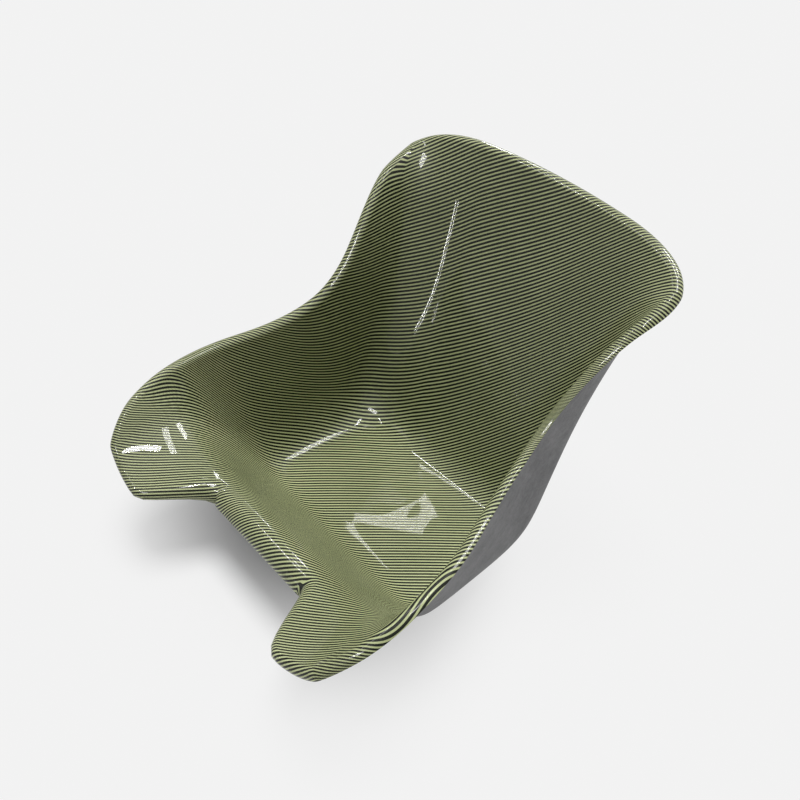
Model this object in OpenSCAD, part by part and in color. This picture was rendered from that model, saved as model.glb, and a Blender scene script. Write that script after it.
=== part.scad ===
// Moulded composite bucket seat: a thin shell with a recessed pan, two thigh
// wings, a waisted back and a rolled lip all the way round.
// Frame: +Z up, the front faces -Y, X = 0 is the mirror plane. The origin is
// the bottom centre of the bounding box. All sizes are in millimetres.

/* [Pan] */
// Length of the flat pan, from the front crease to the heel of the back
pan_len = 163; // [140:1:190]
// Width of the pan where floor and side wall would meet
pan_w = 310; // [280:1:330]
// Radius-like size of the fillet between pan and side wall, on the floor
pan_fillet = 26; // [18:1:40]
// Height that the same fillet takes on the side wall
wall_fillet = 60; // [40:1:80]
// Rise of the pan at the heel
heel_rise = 5; // [0:0.5:12]

/* [Front] */
// Height of the front edge above the pan
front_h = 88; // [60:1:100]
// Distance from the front crease to the front edge
front_run = 84; // [70:1:100]
// Width of the front edge where the wings start to rise
front_w = 292; // [270:1:310]
// Size of the sweep between the front edge and the wings
front_fillet = 88; // [60:1:110]

/* [Wings] */
// Width across the wings, between the roots of the lip
wing_w = 418; // [380:1:440]
// Height of the wing tips above the pan
wing_h = 128; // [105:1:140]
// How far the wing tips reach in front of the front edge
wing_reach = 86; // [50:1:95]
// How far the outer corners of the wing tips are rounded back
tip_round = 55; // [30:1:75]
// How far each wing tip draws in from the widest line of the wings
tip_inset = 16; // [0:1:25]
// How far the surface of the wings lies above the front edge
tip_rise = 2; // [0:1:12]
// Height of the side rim above the pan, half way along the pan
side_h = 167; // [150:1:185]

/* [Waist] */
// Width between the lip roots at the waist
waist_w = 321; // [300:1:345]
// Distance of the waist from the front crease
waist_y = 135; // [120:1:150]
// Height of the rim at the waist above the pan
waist_h = 206; // [185:1:225]

/* [Back] */
// Height of the top edge above the pan, in the middle
back_h = 354; // [320:1:400]
// Distance from the heel to the top edge, measured level
back_run = 143; // [110:1:180]
// Width of the back panel between its side sweeps
back_w = 302; // [280:1:316]
// Size of the sweep between the back panel and its sides
back_fillet = 87; // [60:1:95]
// Width of the top edge between its side sweeps
top_w = 340; // [320:1:370]
// Width across the shoulders, between the roots of the lip
shoulder_w = 404; // [380:1:430]
// How far the shoulders lie below the middle of the top edge
shoulder_drop = 19; // [5:1:40]
// How far the shoulders lie in front of the middle of the top edge
shoulder_fwd = 20; // [0:1:30]
// How far the shoulder corners are rounded down
shoulder_round = 34; // [20:1:60]
// How far the side edges of the top are cut back from the middle
top_bow = 29; // [0:1:40]

/* [Lip] */
// Outer radius of the rolled lip
lip_r = 8; // [7:0.5:11]
// Angle that the lip turns through
lip_turn = 120; // [90:5:140]
// Outer radius of the roll along the front edge
front_roll_r = 17; // [12:0.5:22]
// Distance inside the wing roots at which the wider front roll begins
roll_gap = 22; // [10:1:35]
// Length over which the lip widens into the front roll
roll_blend = 40; // [25:1:60]

/* [Laminate] */
// Thickness of the woven face ply with its clear coat
face_t = 1.0; // [0.6:0.1:1.5]
// Thickness of the structural glass laminate
glass_t = 2.3; // [1.5:0.1:3]
// Thickness of the dark mat on the back
back_t = 1.0; // [0.6:0.1:1.5]
// Thickness of the doubler under the pan
patch_t = 1.2; // [0.8:0.1:2]

/* [Hidden] */
show_col = [0.32, 0.36, 0.20];
glass_col = [0.72, 0.74, 0.66];
mat_col = [0.34, 0.34, 0.35];
patch_col = [0.28, 0.28, 0.29];

// Mesh: half count of columns across, rows along, rows in the lip
half_n = 14;
row_n = 32;
lip_n = 5;
// Block of grid cells under the doubler: columns each side, first and last row
patch_half = 4;
patch_row0 = 9;
patch_row1 = 18;

shell_t = face_t + glass_t + back_t;
floor_z = shell_t + patch_t;
wing_x = wing_w / 2;
waist_x = waist_w / 2;
shoulder_x = shoulder_w / 2;
tip_y = -front_run - wing_reach;
shoulder_y = pan_len + back_run - shoulder_fwd;
shoulder_h = back_h - shoulder_drop;

function mix(a, b, k) = a + (b - a) * k;
function clamp01(v) = max(0, min(1, v));
function ease(v, a, b) = let(s = clamp01((v - a) / (b - a))) s * s * (3 - 2 * s);

// One row per station from the front edge to the top edge:
// spine y, spine z, rim x, rim y, rim z, foot x, fillet on floor, fillet on wall
stations = [
    [mix(tip_y, -front_run, -0.07), front_h + tip_rise, wing_x - tip_inset, tip_y, wing_h,
        front_w / 2, front_fillet, wall_fillet],
    [mix(-front_run, tip_y, 0.6), front_h + tip_rise, wing_x - tip_inset / 2, mix(tip_y, waist_y, 0.095),
        mix(wing_h, side_h, 0.3),
        front_w / 2, front_fillet, wall_fillet],
    [-front_run, front_h, wing_x - tip_inset / 8, mix(tip_y, waist_y, 0.185), mix(wing_h, side_h, 0.52),
        mix(front_w, pan_w, 0.15) / 2, mix(front_fillet, pan_fillet, 0.05), wall_fillet],
    [-front_run * 0.7, front_h * 0.7, wing_x, mix(tip_y, waist_y, 0.27), mix(wing_h, side_h, 0.68),
        mix(front_w, pan_w, 0.5) / 2, mix(front_fillet, pan_fillet, 0.2), wall_fillet],
    [-front_run * 0.42, front_h * 0.34, mix(waist_x, wing_x, 0.97), mix(tip_y, waist_y, 0.345), mix(wing_h, side_h, 0.78),
        mix(front_w, pan_w, 0.75) / 2, mix(front_fillet, pan_fillet, 0.45), wall_fillet],
    [-front_run * 0.15, front_h * 0.08, mix(waist_x, wing_x, 0.92), mix(tip_y, waist_y, 0.415), mix(wing_h, side_h, 0.85),
        mix(front_w, pan_w, 0.85) / 2, mix(front_fillet, pan_fillet, 0.7), wall_fillet],
    [0, 0, mix(waist_x, wing_x, 0.85), mix(tip_y, waist_y, 0.48), mix(wing_h, side_h, 0.9),
        mix(front_w, pan_w, 0.9) / 2, mix(front_fillet, pan_fillet, 0.9), wall_fillet],
    [pan_len * 0.15, 0, mix(waist_x, wing_x, 0.735), mix(tip_y, waist_y, 0.555), mix(wing_h, side_h, 0.95),
        pan_w / 2, pan_fillet, wall_fillet],
    [pan_len * 0.43, 0, mix(waist_x, wing_x, 0.5), mix(tip_y, waist_y, 0.66), side_h,
        pan_w / 2, pan_fillet, wall_fillet],
    [pan_len * 0.79, 0, mix(waist_x, wing_x, 0.24), mix(tip_y, waist_y, 0.79), mix(side_h, waist_h, 0.2),
        pan_w / 2, mix(pan_fillet, back_fillet, 0.17), wall_fillet * 0.9],
    [pan_len, heel_rise, mix(waist_x, wing_x, 0.067), mix(tip_y, waist_y, 0.91), mix(side_h, waist_h, 0.53),
        mix(pan_w, back_w, 0.4) / 2, mix(pan_fillet, back_fillet, 0.7), wall_fillet * 0.93],
    [pan_len + back_run * 0.15, back_h * 0.116, waist_x, waist_y, waist_h,
        back_w / 2, mix(pan_fillet, back_fillet, 0.9), wall_fillet],
    [pan_len + back_run * 0.395, back_h * 0.35, mix(waist_x, shoulder_x, 0.025), mix(waist_y, shoulder_y, 0.175),
        mix(waist_h, shoulder_h, 0.194), mix(back_w, top_w, 0.1) / 2, back_fillet * 0.9, wall_fillet],
    [pan_len + back_run * 0.65, back_h * 0.588, mix(waist_x, shoulder_x, 0.23), mix(waist_y, shoulder_y, 0.375),
        mix(waist_h, shoulder_h, 0.478), mix(back_w, top_w, 0.32) / 2, back_fillet * 0.87, wall_fillet * 0.83],
    [pan_len + back_run * 0.86, back_h * 0.82, mix(waist_x, shoulder_x, 0.55), mix(waist_y, shoulder_y, 0.65),
        mix(waist_h, shoulder_h, 0.82), mix(back_w, top_w, 0.75) / 2, back_fillet * 0.95, wall_fillet * 0.67],
    [pan_len + back_run, back_h, shoulder_x, shoulder_y, shoulder_h,
        top_w / 2, back_fillet * 0.83, wall_fillet * 0.42]
];

// Uniform cubic B-spline through a list of vectors, u from 0 to 1
function spline(list, u) =
    let(
        n = len(list) - 1,
        s = clamp01(u) * n,
        i = min(floor(s), n - 1),
        f = s - i,
        a = i > 0 ? list[i - 1] : 2 * list[0] - list[1],
        d = i < n - 1 ? list[i + 2] : 2 * list[n] - list[n - 1],
        g = 1 - f
    )
    (g * g * g * a + (3 * f * f * f - 6 * f * f + 4) * list[i]
        + (3 * g * g * g - 6 * g * g + 4) * list[i + 1] + f * f * f * d) / 6;

// Share of the section that is flat floor, and where the fillet ends
floor_end = 0.35;
fillet_end = 0.75;

// A point of the show surface: w across from -1 to 1, t along from 0 to 1
function surf(w, t) =
    let(
        st = spline(stations, t),
        v = abs(w),
        rise = norm([st[3] - st[0], st[4] - st[1]]),
        wall = norm([st[2] - st[5], rise]),
        wf = min(st[7], wall * 0.75),
        xf = st[5] - st[6],
        xw = st[5] + wf * (st[2] - st[5]) / wall,
        hw = wf * rise / wall,
        q = clamp01((v - floor_end) / (fillet_end - floor_end)),
        p = 1 - q,
        k = clamp01((v - fillet_end) / (1 - fillet_end)),
        xa = mix(xf, st[5], 0.62),
        xb = mix(xw, st[5], 0.62),
        x = v < floor_end ? xf * v / floor_end
            : p * p * p * xf + 3 * p * p * q * xa + 3 * p * q * q * xb + q * q * q * xw + (st[2] - xw) * k,
        h = 3 * p * q * q * hw * 0.38 + q * q * q * hw + (rise - hw) * k
    )
    [
        sign(w) * x,
        mix(st[0], st[3], h / rise),
        mix(st[1], st[4], h / rise) + floor_z
    ];

// Unit normal of the show surface, toward the occupant
function surf_n(w, t) =
    let(
        e = 0.004,
        a = surf(w + e, t) - surf(w - e, t),
        b = surf(w, min(1, t + e)) - surf(w, max(0, t - e)),
        n = cross(a, b)
    )
    n / norm(n);

// Rounded outline: how far the front and top edges pull in toward the sides
function corner(v, v0) = let(q = clamp01((v - v0) / (1 - v0))) 1 - sqrt(max(0, 1 - q * q));
// Shares of the half width: notch from its side to the wing, start of the tip and shoulder rounding
notch_v0 = 0.4;
notch_v1 = 0.56;
tip_v0 = 0.56;
top_v0 = 0.6;
last = len(stations) - 1;
edge_t = 2 / last;
front_rate = norm(rim_pt(2) - rim_pt(0)) / 2 * last;
top_rate = norm(rim_pt(last) - rim_pt(last - 1)) * last;
function rim_pt(i) = [stations[i][2], stations[i][3], stations[i][4]];
function t_front(v) = edge_t * (1 - ease(v, notch_v0, notch_v1)) + tip_round / front_rate * corner(v, tip_v0);
function t_top(v) = 1 - shoulder_round / top_rate * corner(v, top_v0) - top_bow / top_rate * v * v;

cols = [for (i = [-half_n : half_n]) let(s = i / half_n) 0.35 * s + 0.65 * sin(90 * s)];
nc = len(cols);
nr = row_n + 1;
grid_wt = [for (w = cols) for (j = [0 : row_n]) [w, mix(t_front(abs(w)), t_top(abs(w)), j / row_n)]];
grid_p = [for (g = grid_wt) surf(min(0.999, max(-0.999, g[0])), g[1])];
grid_n = [for (g = grid_wt) surf_n(min(0.99, max(-0.99, g[0])), g[1])];

// Indices of the outline, one turn round the grid
ring = concat(
    [for (j = [0 : nr - 1]) j],
    [for (i = [1 : nc - 1]) i * nr + nr - 1],
    [for (j = [nr - 2 : -1 : 0]) (nc - 1) * nr + j],
    [for (i = [nc - 2 : -1 : 1]) i * nr]
);
nq = len(ring);

// Roll radius at an outline point: larger in the front notch
function roll_r(p) =
    mix(lip_r, front_roll_r, ease(-p[1], front_run * 0.4, front_run * 0.8) * ease(front_w / 2 - abs(p[0]), roll_gap, roll_gap + roll_blend));

// Outline point k of the lip, turned by angle a, at depth d below the show face
function lip_pt(k, a, d) =
    let(
        p = grid_p[ring[k]],
        n = grid_n[ring[k]],
        g = grid_p[ring[(k + 1) % nq]] - grid_p[ring[(k + nq - 1) % nq]],
        c = cross(n, g),
        b = c / norm(c),
        r = roll_r(p)
    )
    p + r * (sin(a) * b + (cos(a) - 1) * n) - d * (sin(a) * b + cos(a) * n);

// Every point of one surface of the shell at depth d, with the lip rows
function sheet(d, rows) = concat(
    [for (k = [0 : len(grid_p) - 1]) grid_p[k] - d * grid_n[k]],
    [for (m = [1 : 1 : rows]) for (k = [0 : nq - 1]) lip_pt(k, lip_turn * m / lip_n, d)]
);

// Faces of one surface of the shell
function quad(a, b, c, d) = [[a, b, c], [a, c, d]];
function row_id(m, k) = m == 0 ? ring[k % nq] : nc * nr + (m - 1) * nq + k % nq;
function flat1(l) = [for (a = l) for (b = a) b];
function sheet_faces(rows) = flat1(concat(
    [for (i = [0 : nc - 2]) for (j = [0 : nr - 2])
        quad(i * nr + j, (i + 1) * nr + j, (i + 1) * nr + j + 1, i * nr + j + 1)],
    [for (m = [0 : 1 : rows - 1]) for (k = [0 : nq - 1])
        quad(row_id(m, k), row_id(m, k + 1), row_id(m + 1, k + 1), row_id(m + 1, k))]
));
function flip(f, n) = [for (t = f) [t[2] + n, t[1] + n, t[0] + n]];

// Level and middle of the whole part, so that the origin is its bottom centre
bounds_p = sheet(0, lip_n);
bounds_g = sheet(shell_t, 0);
all_y = concat([for (p = bounds_p) p[1]], [for (p = bounds_g) p[1]]);
mid_y = (min(all_y) + max(all_y)) / 2;

// A ply between two depths, with the same number of lip rows on both faces
module ply(d0, d1, rows) {
    top = sheet(d0, rows);
    under = sheet(d1, rows);
    n = len(top);
    f = sheet_faces(rows);
    edge = flat1([for (k = [0 : nq - 1])
        quad(row_id(rows, k), row_id(rows, k + 1), row_id(rows, k + 1) + n, row_id(rows, k) + n)]);
    translate([0, -mid_y, 0])
        polyhedron(concat(top, under), concat(flip(f, 0), [for (t = f) t + [n, n, n]], flip(edge, 0)));
}

module face_ply() {
    color(show_col) ply(0, face_t, lip_n);
}

module glass_laminate() {
    color(glass_col) ply(face_t, face_t + glass_t, lip_n);
}

module back_mat() {
    color(mat_col) ply(face_t + glass_t, shell_t, 0);
}

// A patch on the back of the shell, over a block of the same columns and rows
module patch(d0, d1, i0, i1, j0, j1) {
    pr = j1 - j0 + 1;
    pc = i1 - i0 + 1;
    n = pc * pr;
    own = [for (i = [i0 : i1]) for (j = [j0 : j1]) i * nr + j];
    loop = concat(
        [for (j = [0 : pr - 1]) j],
        [for (i = [1 : pc - 1]) i * pr + pr - 1],
        [for (j = [pr - 2 : -1 : 0]) (pc - 1) * pr + j],
        [for (i = [pc - 2 : -1 : 1]) i * pr]
    );
    m = len(loop);
    f = flat1([for (i = [0 : pc - 2]) for (j = [0 : pr - 2])
        quad(i * pr + j, (i + 1) * pr + j, (i + 1) * pr + j + 1, i * pr + j + 1)]);
    edge = flat1([for (k = [0 : m - 1]) let(a = loop[k], b = loop[(k + 1) % m]) quad(a, b, b + n, a + n)]);
    translate([0, -mid_y, 0])
        polyhedron(
            concat([for (k = own) grid_p[k] - d0 * grid_n[k]], [for (k = own) grid_p[k] - d1 * grid_n[k]]),
            concat(flip(f, 0), [for (t = f) t + [n, n, n]], flip(edge, 0))
        );
}

module base_doubler() {
    color(patch_col) patch(shell_t, floor_z, half_n - patch_half, half_n + patch_half, patch_row0, patch_row1);
}

face_ply();
glass_laminate();
back_mat();
base_doubler();
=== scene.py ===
from math import cos, pi, radians, sin

import bmesh
import bpy
import numpy as np
from mathutils import Matrix, Vector


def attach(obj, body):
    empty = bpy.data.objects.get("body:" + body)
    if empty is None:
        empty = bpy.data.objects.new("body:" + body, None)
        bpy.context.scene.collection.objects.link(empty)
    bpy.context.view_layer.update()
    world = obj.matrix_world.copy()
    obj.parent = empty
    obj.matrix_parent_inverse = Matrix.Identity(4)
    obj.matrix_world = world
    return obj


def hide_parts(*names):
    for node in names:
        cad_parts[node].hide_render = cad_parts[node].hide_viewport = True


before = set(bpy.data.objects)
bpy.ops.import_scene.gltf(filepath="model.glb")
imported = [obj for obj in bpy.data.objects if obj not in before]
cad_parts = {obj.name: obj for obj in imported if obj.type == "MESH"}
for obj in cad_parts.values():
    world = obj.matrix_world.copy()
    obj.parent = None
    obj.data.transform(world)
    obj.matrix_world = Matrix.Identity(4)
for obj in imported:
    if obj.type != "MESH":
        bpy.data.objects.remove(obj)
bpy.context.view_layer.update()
print("frame loaded:", ", ".join(sorted(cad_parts)))

mm = 0.001
tiny = 1e-5
sharpEdge = radians(50)

# Form of the shell in millimetres, with the same sizes as the solids
seat = {
    "panLength": 163, "panWidth": 310, "panFillet": 26, "wallFillet": 60, "heelRise": 5,
    "frontHeight": 88, "frontRun": 84, "frontWidth": 292, "frontFillet": 88,
    "wingWidth": 418, "wingHeight": 128, "wingReach": 86, "tipRound": 55, "tipInset": 16,
    "tipRise": 2, "sideHeight": 167, "waistWidth": 321, "waistY": 135, "waistHeight": 206,
    "backHeight": 354, "backRun": 143, "backWidth": 302, "backFillet": 87, "topWidth": 340,
    "shoulderWidth": 404, "shoulderDrop": 19, "shoulderForward": 20, "shoulderRound": 34,
    "topBow": 29, "lipRadius": 8, "lipTurn": 120, "frontRollRadius": 17, "rollGap": 22,
    "rollBlend": 40, "faceThick": 1.0, "glassThick": 2.3, "matThick": 1.0, "patchThick": 1.2,
    # shares of the half width where the notch, the wing tip and the shoulder begin
    "notchSide": 0.4, "notchWing": 0.56, "tipStart": 0.56, "shoulderStart": 0.6,
    # shares of a cross-section that are flat floor, and where its fillet ends
    "floorEnd": 0.35, "filletEnd": 0.75,
    # how far the fillet's handles reach towards the foot, and the most of a wall it takes up
    "filletPull": 0.62, "filletShare": 0.75,
    # shares of the front run between which the lip grows into the front roll
    "rollStart": 0.4, "rollEnd": 0.8,
    # shares of the half width where the face ends, and where its direction is last taken
    "faceEnd": 0.999, "normalEnd": 0.99,
}
# Mesh density: columns across and how much they gather at the rims, rows along, rows round the lip,
# and the points that measure the cloth's way across and along
density = {
    "across": 112, "gather": 0.65, "along": 136, "lip": 12, "weftPoints": 25, "warpPoints": 401,
}


def mix(a, b, k):
    return a + (b - a) * k


def ease(v, a, b):
    s = np.clip((v - a) / (b - a), 0, 1)
    return s * s * (3 - 2 * s)


def corner(v, start):
    q = np.clip((v - start) / (1 - start), 0, 1)
    return 1 - np.sqrt(np.maximum(0, 1 - q * q))


def stationRows(s):
    # one row per station from the wing tips to the top edge:
    # spine y, spine z, rim x, rim y, rim z, foot x, fillet on floor, fillet on wall
    wing, waist, shoulder = s["wingWidth"] / 2, s["waistWidth"] / 2, s["shoulderWidth"] / 2
    run, rise, pan, inset = s["frontRun"], s["frontHeight"], s["panLength"], s["tipInset"]
    tipY, waistY, tipZ = -run - s["wingReach"], s["waistY"], rise + s["tipRise"]
    shoulderY = pan + s["backRun"] - s["shoulderForward"]
    shoulderZ = s["backHeight"] - s["shoulderDrop"]
    frontW, panW, backW, topW = s["frontWidth"], s["panWidth"], s["backWidth"], s["topWidth"]
    frontF, panF, backF, wallF = s["frontFillet"], s["panFillet"], s["backFillet"], s["wallFillet"]
    wingZ, sideZ, waistZ = s["wingHeight"], s["sideHeight"], s["waistHeight"]

    def side(x, y, z):
        # rim point between wing tip and waist
        return [mix(waist, wing, x), mix(tipY, waistY, y), mix(wingZ, sideZ, z)]

    def up(x, y, z):
        # rim point between waist and shoulder
        return [mix(waist, shoulder, x), mix(waistY, shoulderY, y), mix(waistZ, shoulderZ, z)]

    def hip(x, y, z):
        # rim point between the side and the waist
        return [mix(waist, wing, x), mix(tipY, waistY, y), mix(sideZ, waistZ, z)]

    def floor(width, fillet):
        return [mix(frontW, panW, width) / 2, mix(frontF, panF, fillet), wallF]

    def back(y, z):
        return [pan + s["backRun"] * y, s["backHeight"] * z]

    return np.array([
        [mix(tipY, -run, -0.07), tipZ, wing - inset, tipY, wingZ, *floor(0, 0)],
        [mix(-run, tipY, 0.6), tipZ, wing - inset / 2, *side(1, 0.095, 0.3)[1:], *floor(0, 0)],
        [-run, rise, wing - inset / 8, *side(1, 0.185, 0.52)[1:], *floor(0.15, 0.05)],
        [-run * 0.7, rise * 0.7, *side(1, 0.27, 0.68), *floor(0.5, 0.2)],
        [-run * 0.42, rise * 0.34, *side(0.97, 0.345, 0.78), *floor(0.75, 0.45)],
        [-run * 0.15, rise * 0.08, *side(0.92, 0.415, 0.85), *floor(0.85, 0.7)],
        [0, 0, *side(0.85, 0.48, 0.9), *floor(0.9, 0.9)],
        [pan * 0.15, 0, *side(0.735, 0.555, 0.95), *floor(1, 1)],
        [pan * 0.43, 0, *side(0.5, 0.66, 1), *floor(1, 1)],
        [pan * 0.79, 0, *hip(0.24, 0.79, 0.2), panW / 2, mix(panF, backF, 0.17), wallF * 0.9],
        [pan, s["heelRise"], *hip(0.067, 0.91, 0.53),
         mix(panW, backW, 0.4) / 2, mix(panF, backF, 0.7), wallF * 0.93],
        [*back(0.15, 0.116), *up(0, 0, 0), backW / 2, mix(panF, backF, 0.9), wallF],
        [*back(0.395, 0.35), *up(0.025, 0.175, 0.194),
         mix(backW, topW, 0.1) / 2, backF * 0.9, wallF],
        [*back(0.65, 0.588), *up(0.23, 0.375, 0.478),
         mix(backW, topW, 0.32) / 2, backF * 0.87, wallF * 0.83],
        [*back(0.86, 0.82), *up(0.55, 0.65, 0.82),
         mix(backW, topW, 0.75) / 2, backF * 0.95, wallF * 0.67],
        [*back(1, 1), *up(1, 1, 1), topW / 2, backF * 0.83, wallF * 0.42],
    ])


stations = stationRows(seat)
lastRow = len(stations) - 1
shellThick = seat["faceThick"] + seat["glassThick"] + seat["matThick"]
floorLevel = shellThick + seat["patchThick"]


def spline(rows, t):
    # uniform cubic B-spline through a list of rows, t from 0 to 1
    padded = np.concatenate([[2 * rows[0] - rows[1]], rows, [2 * rows[-1] - rows[-2]]])
    s = np.clip(t, 0, 1) * (len(rows) - 1)
    i = np.minimum(np.floor(s).astype(int), len(rows) - 2)
    f = (s - i)[..., None]
    g = 1 - f
    return (g**3 * padded[i] + (3 * f**3 - 6 * f**2 + 4) * padded[i + 1]
            + (3 * g**3 - 6 * g**2 + 4) * padded[i + 2] + f**3 * padded[i + 3]) / 6


def facePoint(w, t):
    # a point of the seating face: w across from -1 to 1, t along from front to top
    w, t = np.broadcast_arrays(np.asarray(w, float), np.asarray(t, float))
    st = spline(stations, t)
    spineY, spineZ, rimX, rimY, rimZ, foot, floorF, wallF = [st[..., k] for k in range(8)]
    floorEnd, filletEnd, pull = seat["floorEnd"], seat["filletEnd"], seat["filletPull"]
    v = np.abs(w)
    rise = np.hypot(rimY - spineY, rimZ - spineZ)
    wall = np.hypot(rimX - foot, rise)
    onWall = np.minimum(wallF, wall * seat["filletShare"])
    x0 = foot - floorF
    x3 = foot + onWall * (rimX - foot) / wall
    h3 = onWall * rise / wall
    q = np.clip((v - floorEnd) / (filletEnd - floorEnd), 0, 1)
    p = 1 - q
    k = np.clip((v - filletEnd) / (1 - filletEnd), 0, 1)
    x1, x2 = mix(x0, foot, pull), mix(x3, foot, pull)
    x = np.where(v < floorEnd, x0 * v / floorEnd,
                 p**3 * x0 + 3 * p * p * q * x1 + 3 * p * q * q * x2 + q**3 * x3 + (rimX - x3) * k)
    h = 3 * p * q * q * h3 * (1 - pull) + q**3 * h3 + (rise - h3) * k
    y, z = mix(spineY, rimY, h / rise), mix(spineZ, rimZ, h / rise) + floorLevel
    return np.stack([np.sign(w) * x, y, z], -1)


def unit(v):
    return v / np.linalg.norm(v, axis=-1, keepdims=True)


def faceNormal(w, t, step=0.004):
    a = facePoint(w + step, t) - facePoint(w - step, t)
    b = facePoint(w, np.minimum(1, t + step)) - facePoint(w, np.maximum(0, t - step))
    return unit(np.cross(a, b))


def rowGap(i, j):
    # millimetres of rim per unit of t, taken between stations i and j
    return np.linalg.norm(stations[j][2:5] - stations[i][2:5]) / (j - i) * lastRow


def frontT(v):
    # where the front outline runs: notch, wing, rounded tip
    return (2 / lastRow * (1 - ease(v, seat["notchSide"], seat["notchWing"]))
            + seat["tipRound"] / rowGap(0, 2) * corner(v, seat["tipStart"]))


def topT(v):
    drop = seat["shoulderRound"] * corner(v, seat["shoulderStart"]) + seat["topBow"] * v * v
    return 1 - drop / rowGap(lastRow - 1, lastRow)


# How far the cloth is drawn along its warp, in millimetres: rows from the rim at -X to the rim
# at +X, columns from the front edge to the top edge
drape = np.array([
    [79, 98, -77, 6, -31, -33, 8, -44],
    [75, 69, -22, 14, -36, -26, -3, -2],
    [-9, -10, 8, 1, 3, 29, 24, 38],
    [-33, 4, 5, 5, 0, 19, 50, 86],
    [-11, 39, -6, 13, 8, 10, 15, 59],
    [20, 50, 16, 22, 14, 16, 20, 40],
], float)


def clothPlace(w, t, draped=True):
    # cloth coordinates in millimetres: weft along the section, warp along the spine
    k = np.linspace(0, 1, density["weftPoints"])
    line = facePoint(w[..., None] * k, t[..., None] + 0 * k)
    weft = np.linalg.norm(np.diff(line, axis=-2), axis=-1).sum(-1) * np.sign(w)
    spineT = np.linspace(0, 1, density["warpPoints"])
    steps = np.linalg.norm(np.diff(facePoint(0 * spineT, spineT), axis=0), axis=1)
    warp = np.interp(t, spineT, np.concatenate([[0], np.cumsum(steps)]))
    if draped:
        across = spline(drape, (w + 1) / 2)
        warp = warp + [spline(row[:, None], np.array([s]))[0, 0] for row, s in zip(across, t)]
    return np.stack([weft, warp], -1)


# How the outline stays inside the faceted solids: the Y in millimetres beyond which the wing tips
# are drawn in, how strongly, and how much narrower all of it is
tips = {"from": -155.0, "pull": 0.0027, "narrow": 0.9997}


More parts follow.
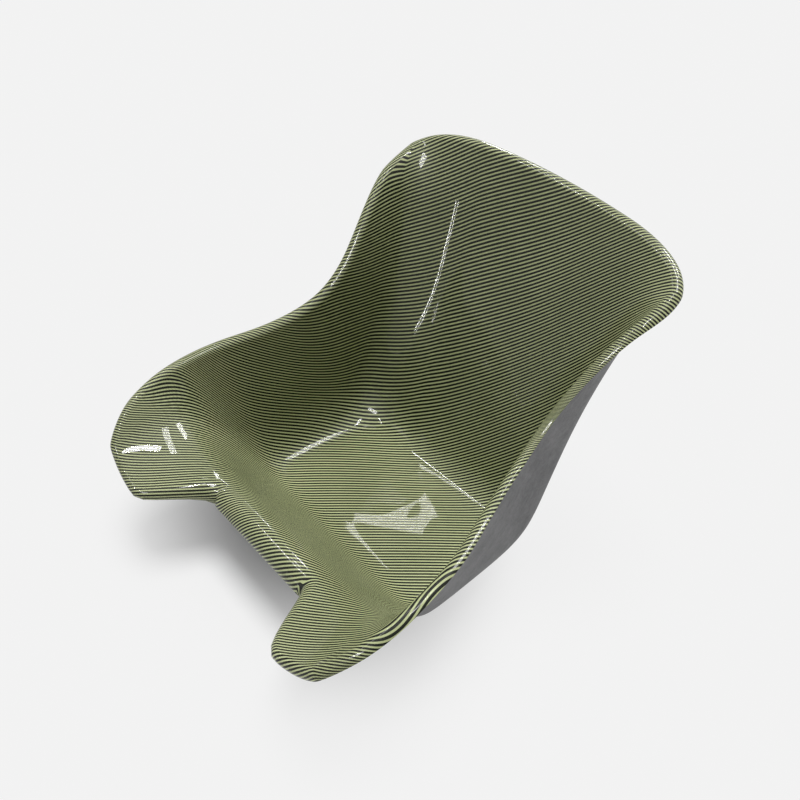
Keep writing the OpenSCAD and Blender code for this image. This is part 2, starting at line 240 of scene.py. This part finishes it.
def makeSheet(name, depth, lipRows, midY):
    # a grid primitive laid at a depth below the seating face, with the lip extruded round its edge
    bpy.ops.object.select_all(action="DESELECT")
    bpy.ops.mesh.primitive_grid_add(
        x_subdivisions=density["across"], y_subdivisions=density["along"], size=2)
    sheet = bpy.context.active_object
    sheet.name = sheet.data.name = name
    flat = np.empty(len(sheet.data.vertices) * 3)
    sheet.data.vertices.foreach_get("co", flat)
    flat = flat.reshape(-1, 3)
    gather = density["gather"]
    w = (1 - gather) * flat[:, 0] + gather * np.sin(flat[:, 0] * pi / 2)
    t = mix(frontT(np.abs(w)), topT(np.abs(w)), (flat[:, 1] + 1) / 2)
    point = facePoint(np.clip(w, -seat["faceEnd"], seat["faceEnd"]), t)
    normal = faceNormal(np.clip(w, -seat["normalEnd"], seat["normalEnd"]), t)
    cloth = clothPlace(w, t)

    # the outline in order: up the side at -X, across the top, down the side at +X, along the front
    edges = []
    for axis, side, order in ((0, -1, 1), (1, 1, 1), (0, 1, -1), (1, -1, -1)):
        found = np.flatnonzero(np.abs(flat[:, axis] - side) < tiny)
        edges.append(found[np.argsort(order * flat[found, 1 - axis])][:-1])
    ring = np.concatenate(edges)
    rimAt, rimUp = point[ring], normal[ring]
    outward = unit(np.cross(rimUp, np.roll(rimAt, -1, 0) - np.roll(rimAt, 1, 0)))
    run, fromSide = seat["frontRun"], seat["frontWidth"] / 2 - np.abs(rimAt[:, 0])
    inNotch = (ease(-rimAt[:, 1], run * seat["rollStart"], run * seat["rollEnd"])
               * ease(fromSide, seat["rollGap"], seat["rollGap"] + seat["rollBlend"]))
    radius = mix(seat["lipRadius"], seat["frontRollRadius"], inNotch)[:, None]

    # how the cloth coordinates run on over the lip: their slope in the direction outward
    step = 0.002
    rw, rt = w[ring], t[ring]
    dw, dt = np.where(rw >= 0, -step, step), np.where(rt > 0.5, -step, step)
    here, place, plain = facePoint(rw, rt), cloth[ring], clothPlace(rw, rt, draped=False)
    alongW, alongT = [(facePoint(*p) - here) / d[:, None]
                      for p, d in (((rw + dw, rt), dw), ((rw, rt + dt), dt))]
    clothW, clothT = [(clothPlace(*p, draped=False) - plain) / d[:, None]
                      for p, d in (((rw + dw, rt), dw), ((rw, rt + dt), dt))]
    ww, wt, tt = (alongW * alongW).sum(1), (alongW * alongT).sum(1), (alongT * alongT).sum(1)
    ow, ot = (outward * alongW).sum(1), (outward * alongT).sum(1)
    det = ww * tt - wt * wt
    shareW, shareT = ((tt * ow - wt * ot) / det)[:, None], ((ww * ot - wt * ow) / det)[:, None]
    slope = shareW * clothW + shareT * clothT

    spots, uv = [point - depth * normal], [cloth]
    if lipRows:
        bpy.ops.object.mode_set(mode="EDIT")
        bpy.ops.mesh.select_mode(type="EDGE")
        bpy.ops.mesh.select_all(action="DESELECT")
        bpy.ops.mesh.select_non_manifold()
        owner = {int(v): k for k, v in enumerate(ring)}
        for row in range(1, lipRows + 1):
            bpy.ops.mesh.extrude_region_move()
            bm = bmesh.from_edit_mesh(sheet.data)
            bm.verts.index_update()
            grown = {}
            for vert in bm.verts:
                if vert.select:
                    root = [edge.other_vert(vert) for edge in vert.link_edges]
                    grown[vert.index] = owner[next(v.index for v in root if not v.select)]
            owner = grown
            order = [owner[i] for i in sorted(owner)]
            angle = radians(seat["lipTurn"] * row / lipRows)
            turned = sin(angle) * outward + cos(angle) * rimUp
            spots.append((rimAt + (radius - depth) * turned - radius * rimUp)[order])
            uv.append((place + slope * radius * angle)[order])
        bmesh.update_edit_mesh(sheet.data)
        bpy.ops.object.mode_set(mode="OBJECT")
    spots, uv = np.concatenate(spots), np.concatenate(uv)
    spots[:, 1] += tips["pull"] * np.maximum(0, tips["from"] - spots[:, 1]) ** 2
    spots[:, 0] *= tips["narrow"]
    spots[:, 1] -= midY
    sheet.data.vertices.foreach_set("co", (spots * mm).ravel())
    layer = sheet.data.uv_layers.active
    layer.name = "cloth"
    corners = np.empty(len(sheet.data.loops), int)
    sheet.data.loops.foreach_get("vertex_index", corners)
    layer.data.foreach_set("uv", (uv[corners] * mm).ravel())
    sheet.data.update()
    return sheet, spots


def thicken(sheet, thickness):
    bpy.ops.object.select_all(action="DESELECT")
    sheet.select_set(True)
    bpy.context.view_layer.objects.active = sheet
    wall = sheet.modifiers.new("Wall", "SOLIDIFY")
    wall.thickness = thickness * mm
    wall.offset = -1
    bpy.ops.object.modifier_apply(modifier=wall.name)
    bpy.ops.object.shade_smooth_by_angle(angle=sharpEdge)


class Wire:
    # one output socket, with arithmetic that adds Math nodes
    def __init__(self, tree, socket):
        self.tree, self.socket = tree, socket

    def math(self, operation, first, second=0.0):
        return node(self.tree, "ShaderNodeMath", {"operation": operation}, {0: first, 1: second})

    def __add__(self, other):
        return self.math("ADD", self, other)

    def __sub__(self, other):
        return self.math("SUBTRACT", self, other)

    def __rsub__(self, other):
        return self.math("SUBTRACT", other, self)

    def __mul__(self, other):
        return self.math("MULTIPLY", self, other)

    def __truediv__(self, other):
        return self.math("DIVIDE", self, other)

    def __gt__(self, other):
        return self.math("GREATER_THAN", self, other)

    def __lt__(self, other):
        return self.math("LESS_THAN", self, other)

    def __abs__(self):
        return self.math("ABSOLUTE", self)

    def fract(self):
        return self.math("FRACT", self)


def node(tree, kind, settings=None, inputs=None, output=0):
    # a node of any type: settings first, then the values or links of its sockets
    made = tree.nodes.new(kind)
    for key, value in (settings or {}).items():
        setattr(made, key, value)
    for key, value in (inputs or {}).items():
        if isinstance(value, Wire):
            tree.links.new(value.socket, made.inputs[key])
        elif isinstance(value, tuple) and len(made.inputs[key].default_value) == 4:
            made.inputs[key].default_value = (*value, 1)
        else:
            made.inputs[key].default_value = value
    return Wire(tree, made.outputs[output])


def blend(tree, factor, first, second):
    # the Mix node's colour sockets are inputs 6 and 7 and output 2
    return node(tree, "ShaderNodeMix", {"data_type": "RGBA"},
                {0: factor, 6: first, 7: second}, output=2)


def objectPlace(tree):
    return node(tree, "ShaderNodeTexCoord", output="Object")


def noise(tree, place, scale, detail=2.0, roughness=0.5):
    return node(tree, "ShaderNodeTexNoise", {},
                {"Vector": place, "Scale": scale, "Detail": detail, "Roughness": roughness})


def makeMaterial(name, paint):
    material = bpy.data.materials.new(name)
    material.use_nodes = True
    tree = material.node_tree
    tree.nodes.clear()
    surface = paint(tree)
    end = tree.nodes.new("ShaderNodeOutputMaterial")
    tree.links.new(surface.socket, end.inputs["Surface"])
    return material


# Woven face under a thick clear coat: tow widths in millimetres, and the share that shows weft
cloth = {
    "weftTow": 1.30,
    "warpTow": 1.52,
    "weftShare": 0.42,
    # a count of tows that keeps the tow numbers above zero
    "towStart": 4000,
    "black": (0.001, 0.002, 0.000),
    # painted sheen: the lighter black that the black tows take along their fibres on the crown
    "blackPaintedSheen": (0.010, 0.013, 0.003),
    "olive": (0.74, 0.79, 0.45),
    "oliveDark": (0.26, 0.30, 0.11),
    "roughness": 0.45,
    "specular": 0.1,
    "coatRoughness": 0.02,
    "coatIor": 1.2,
    "bump": 0.15,
    "bumpDepth": 0.0002,
    # fibre lines: noise scale, then its stretch along and across a tow
    "fibres": 1200,
    "stretch": (0.6, 9),
    "drift": 11,
    # how much a tow's crown (painted shade: lighter on top, darker at its edges), its fibres and
    # the drift lighten it, and what is taken off
    "tone": (0.35, 0.5, 0.5, 0.15),
    # how far the black tows take the painted sheen
    "paintedSheen": 0.9,
}


def paintCloth(tree):
    place = node(tree, "ShaderNodeUVMap", {"uv_map": "cloth"})
    split = node(tree, "ShaderNodeSeparateXYZ", {}, {0: place})
    u, v = split, Wire(tree, split.socket.node.outputs[1])
    across = u / (cloth["weftTow"] * mm) + cloth["towStart"]
    along = v / (cloth["warpTow"] * mm) + cloth["towStart"]
    # 2/2 twill: two tows over, two under, one step on at each pick, with slanted float ends
    weft = ((across - along) / 4).fract() < cloth["weftShare"]
    inTow = node(tree, "ShaderNodeMix", {"data_type": "FLOAT"},
                 {0: weft, 2: abs(across.fract() - 0.5), 3: abs(along.fract() - 0.5)})
    crown = 1 - inTow * inTow * 4
    fine, wide = cloth["stretch"]
    lay = [node(tree, "ShaderNodeMapping", {}, {"Vector": place, "Scale": scale})
           for scale in ((wide, fine, 1), (fine, wide, 1))]
    fibres = [noise(tree, way, cloth["fibres"]) for way in lay]
    drift = noise(tree, place, cloth["drift"])
    paintedCrownShade, byFibres, byDrift, less = cloth["tone"]
    # the crown's part of the tone is painted shade: each tow lighter on its crown, darker towards
    # its edges
    tone = crown * paintedCrownShade + fibres[1] * byFibres + drift * byDrift - less
    # painted sheen on the black tows, strongest along the fibres on a tow's crown
    black = blend(tree, fibres[0] * crown * cloth["paintedSheen"], cloth["black"], cloth["blackPaintedSheen"])
    colour = blend(tree, weft, black, blend(tree, tone, cloth["oliveDark"], cloth["olive"]))
    bump = node(tree, "ShaderNodeBump", {}, {
        "Strength": cloth["bump"], "Distance": cloth["bumpDepth"], "Height": crown})
    return node(tree, "ShaderNodeBsdfPrincipled", {}, {
        "Base Color": colour, "Normal": bump, "Roughness": cloth["roughness"],
        "Specular IOR Level": cloth["specular"], "Coat Weight": 1.0,
        "Coat Roughness": cloth["coatRoughness"], "Coat IOR": cloth["coatIor"]})


# Dark chopped-strand mat on the back: mottled, gritty, lightly scuffed
mat = {
    "dark": (0.060, 0.060, 0.064),
    "light": (0.190, 0.190, 0.192),
    "scuff": (0.30, 0.30, 0.30),
    "roughness": 0.55,
    "bump": 0.55,
    "bumpDepth": 0.0005,
    "bumpGrit": 0.5,
    # scale, detail and roughness of the noises
    "clouds": (26, 7, 0.62),
    "strands": (160, 3, 0.7),
    "grit": (900, 2),
    # how much each of them lightens the mat, and what is taken off
    "tone": (1.5, 1.0, 0.8, 1.15),
    # scuffs: turn and stretch of their noise, their width, their patches and their grit
    "scuffTurn": (0.4, 0.7, 0.5),
    "scuffStretch": (60, 4, 5),
    "scuffWidth": 0.006,
    "scuffPatches": (9, 1),
    "scuffFrom": 0.55,
    "scuffGrit": 1.1,
}


def paintMat(tree):
    place = objectPlace(tree)
    clouds = noise(tree, place, *mat["clouds"])
    strands = noise(tree, place, *mat["strands"])
    grit = noise(tree, place, *mat["grit"])
    byClouds, byStrands, byGrit, less = mat["tone"]
    tone = clouds * byClouds + strands * byStrands + grit * byGrit - less
    # scuffs: thin, nearly straight level lines of a noise stretched along one way, in patches
    streak = node(tree, "ShaderNodeMapping", {}, {
        "Vector": place, "Rotation": mat["scuffTurn"], "Scale": mat["scuffStretch"]})
    line = abs(noise(tree, streak, 1.0, 0) - 0.5) < mat["scuffWidth"]
    where = noise(tree, place, *mat["scuffPatches"]) > mat["scuffFrom"]
    scuff = line * where * (grit * mat["scuffGrit"])
    colour = blend(tree, scuff, blend(tree, tone, mat["dark"], mat["light"]), mat["scuff"])
    bump = node(tree, "ShaderNodeBump", {}, {
        "Strength": mat["bump"], "Distance": mat["bumpDepth"],
        "Height": strands + grit * mat["bumpGrit"]})
    return node(tree, "ShaderNodeBsdfPrincipled", {},
                {"Base Color": colour, "Normal": bump, "Roughness": mat["roughness"]})


# Glass laminate, seen only where the plies end
glass = {
    "resin": (0.10, 0.105, 0.07),
    "strand": (0.42, 0.44, 0.33),
    "roughness": 0.45,
    "strands": (220, 4),
}


def paintGlass(tree):
    strands = noise(tree, objectPlace(tree), *glass["strands"])
    colour = blend(tree, strands, glass["resin"], glass["strand"])
    return node(tree, "ShaderNodeBsdfPrincipled", {},
                {"Base Color": colour, "Roughness": glass["roughness"]})


def buildPly(name, solid, depth, thickness, lipRows, material, midY):
    sheet, _ = makeSheet(name, depth, lipRows, midY)
    thicken(sheet, thickness)
    sheet.data.materials.append(material)
    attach(sheet, "root")
    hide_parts(solid)
    print("ply made:", name, len(sheet.data.polygons), "faces")


# the shell's middle along Y, set by where the upper edge of the CAD face ply ends
probe, reach = makeSheet("probe", 0, density["lip"], 0)
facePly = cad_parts["face_ply"]
upperEdge = max((facePly.matrix_world @ vert.co).y for vert in facePly.data.vertices)
midY = reach[:, 1].max() - upperEdge / mm
bpy.data.objects.remove(probe)
print("middle along Y:", round(midY, 3))

twill = makeMaterial("woven twill", paintCloth)
darkMat = makeMaterial("resin mat", paintMat)
laminate = makeMaterial("glass laminate", paintGlass)
underMat = seat["faceThick"] + seat["glassThick"]
buildPly("seatFace", "face_ply", 0, seat["faceThick"], density["lip"], twill, midY)
buildPly("glassCore", "glass_laminate", seat["faceThick"], seat["glassThick"], density["lip"],
         laminate, midY)
buildPly("backMat", "back_mat", underMat, seat["matThick"], 0, darkMat, midY)
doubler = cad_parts["base_doubler"]
doubler.data.materials.clear()
doubler.data.materials.append(darkMat)

# Studio: a pale floor that stays even round the seat and keeps its shadow, an even surround,
# soft lamps and the camera
studio = {
    "lens": 42.75,
    "sensor": 36,
    "camera": (0.582, -0.403 - midY * mm, 0.8935),
    "cameraTurn": (46.5, 0, 49.5),
    "paper": (0.89, 0.89, 0.89),
    "paperSize": 40,
    "surround": 0.22,
    "sunWay": (-0.10, 0.20, 0.97),
    "sunSize": 30,
    # the floor's shaded oval: its scale along each axis, its middle after that scale, its inner and
    # outer reach, and how much of the floor glows evenly inside and outside it
    "shadeScale": (0.75, 1, 1),
    "shadeSpot": (-0.045, -0.09, 0),
    "shadeReach": (0.03, 0.24),
    "shadeEven": (0.05, 0.95),
    # the point that the boxes face
    "aim": (0, 0, 0.1),
}


def seenRays(tree):
    # 1 where the camera or a reflection looks, 0 for the light that falls on things
    seen = node(tree, "ShaderNodeLightPath", output="Is Camera Ray")
    for ray in ("Is Glossy Ray", "Is Transmission Ray"):
        seen = seen.math("MAXIMUM", seen, Wire(tree, tree.nodes["Light Path"].outputs[ray]))
    return seen


def paintPaper(tree):
    seen = seenRays(tree)
    oval = node(tree, "ShaderNodeVectorMath", {"operation": "MULTIPLY"},
                {0: objectPlace(tree), 1: studio["shadeScale"]})
    away = node(tree, "ShaderNodeVectorMath", {"operation": "DISTANCE"},
                {0: oval, 1: studio["shadeSpot"]}, output="Value")
    (near, far), (inside, outside) = studio["shadeReach"], studio["shadeEven"]
    even = node(tree, "ShaderNodeMapRange", {"interpolation_type": "SMOOTHSTEP"},
                {"Value": away, "From Min": near, "From Max": far,
                 "To Min": inside, "To Max": outside})
    plain = node(tree, "ShaderNodeBsdfDiffuse", {}, {"Color": studio["paper"]})
    glow = node(tree, "ShaderNodeEmission", {}, {"Color": studio["paper"]})
    return node(tree, "ShaderNodeMixShader", {}, {0: seen * even, 1: plain, 2: glow})


bpy.ops.object.select_all(action="DESELECT")
bpy.ops.mesh.primitive_plane_add(size=studio["paperSize"])
paper = bpy.context.active_object
paper.name = "paper"
paper.data.materials.append(makeMaterial("paper", paintPaper))

world = bpy.data.worlds.new("studio")
bpy.context.scene.world = world
world.use_nodes = True
sky = world.node_tree.nodes["Background"].inputs
sky["Color"].default_value = (1, 1, 1, 1)
shown = seenRays(world.node_tree) * (studio["paper"][0] - studio["surround"]) + studio["surround"]
world.node_tree.links.new(shown.socket, sky["Strength"])

# the sun lamp brings the floor up to its own colour together with the surround
way = Vector(studio["sunWay"]).normalized()
bpy.ops.object.light_add(type="SUN", rotation=way.to_track_quat("Z", "Y").to_euler())
sun = bpy.context.active_object
sun.name = "sun"
sun.data.energy = (1 - studio["surround"]) * pi / way.z
sun.data.angle = radians(studio["sunSize"])
sun.visible_glossy = False

# Soft boxes and tubes that are seen only as reflections: width, glow and both ends of the line
boxes = {
    "window": (0.05, 22, (-1.351, 0.944, 2.008), (-1.146, 1.123, 2.039)),
    "windowMid": (0.035, 20, (-1.355, 0.995, 2.000), (-1.228, 1.106, 2.019)),
    "windowTop": (0.05, 16, (-1.362, 1.042, 1.992), (-1.306, 1.091, 2.000)),
    "wingBar": (0.14, 90, (0.528, -0.226, 1.993), (0.047, 0.251, 2.052)),
    "leftArc": (0.35, 40, (-0.25, 0.75, 2.5), (0.9, 1.16, 2.5)),
    "rearArc": (0.06, 28, (-1.5, 0.55, 2.5), (-1.2, -0.65, 2.5)),
    "frontTop": (0.5, 50, (0.1, -2.0, 2.2), (1.3, -2.0, 2.2)),
    "backTop": (0.6, 50, (-0.3, 2.6, 2.4), (0.9, 2.6, 2.4)),
    "rollTube": (0.25, 60, (-1.60, 1.62, 1.10), (-1.40, 1.72, 1.10)),
    "creaseTube": (0.10, 50, (-1.298, 1.352, 1.610), (-1.184, 1.651, 1.348)),
    "heelTube": (0.05, 80, (-0.373, -1.042, 1.646), (-1.132, -0.035, 1.701)),
    "lineTube": (0.02, 80, (-0.40, -1.876, 0.180), (-0.86, -1.717, 0.393)),
    "lineTube2": (0.015, 50, (-0.46, -1.876, 0.160), (-0.93, -1.717, 0.373)),
}
for name, (width, glow, start, end) in boxes.items():
    start, end = Vector(start), Vector(end)
    middle, along = (start + end) / 2, (end - start).normalized()
    back = middle - Vector(studio["aim"])
    back = (back - back.dot(along) * along).normalized()
    turn = Matrix((along, back.cross(along), back)).transposed()
    bpy.ops.object.light_add(type="AREA", location=middle, rotation=turn.to_euler())
    lamp = bpy.context.active_object
    lamp.name = name
    lamp.data.shape = "RECTANGLE"
    lamp.data.size, lamp.data.size_y = (end - start).length, width
    lamp.data.energy = glow * pi * width * (end - start).length
    lamp.visible_diffuse = False
    lamp.visible_camera = False
print("studio built:", len(boxes), "soft boxes")

turns = [radians(angle) for angle in studio["cameraTurn"]]
bpy.ops.object.camera_add(location=studio["camera"], rotation=turns)
camera = bpy.context.active_object
camera.data.lens = studio["lens"]
camera.data.sensor_width = studio["sensor"]
bpy.context.scene.camera = camera
bpy.context.scene.view_settings.view_transform = "Standard"
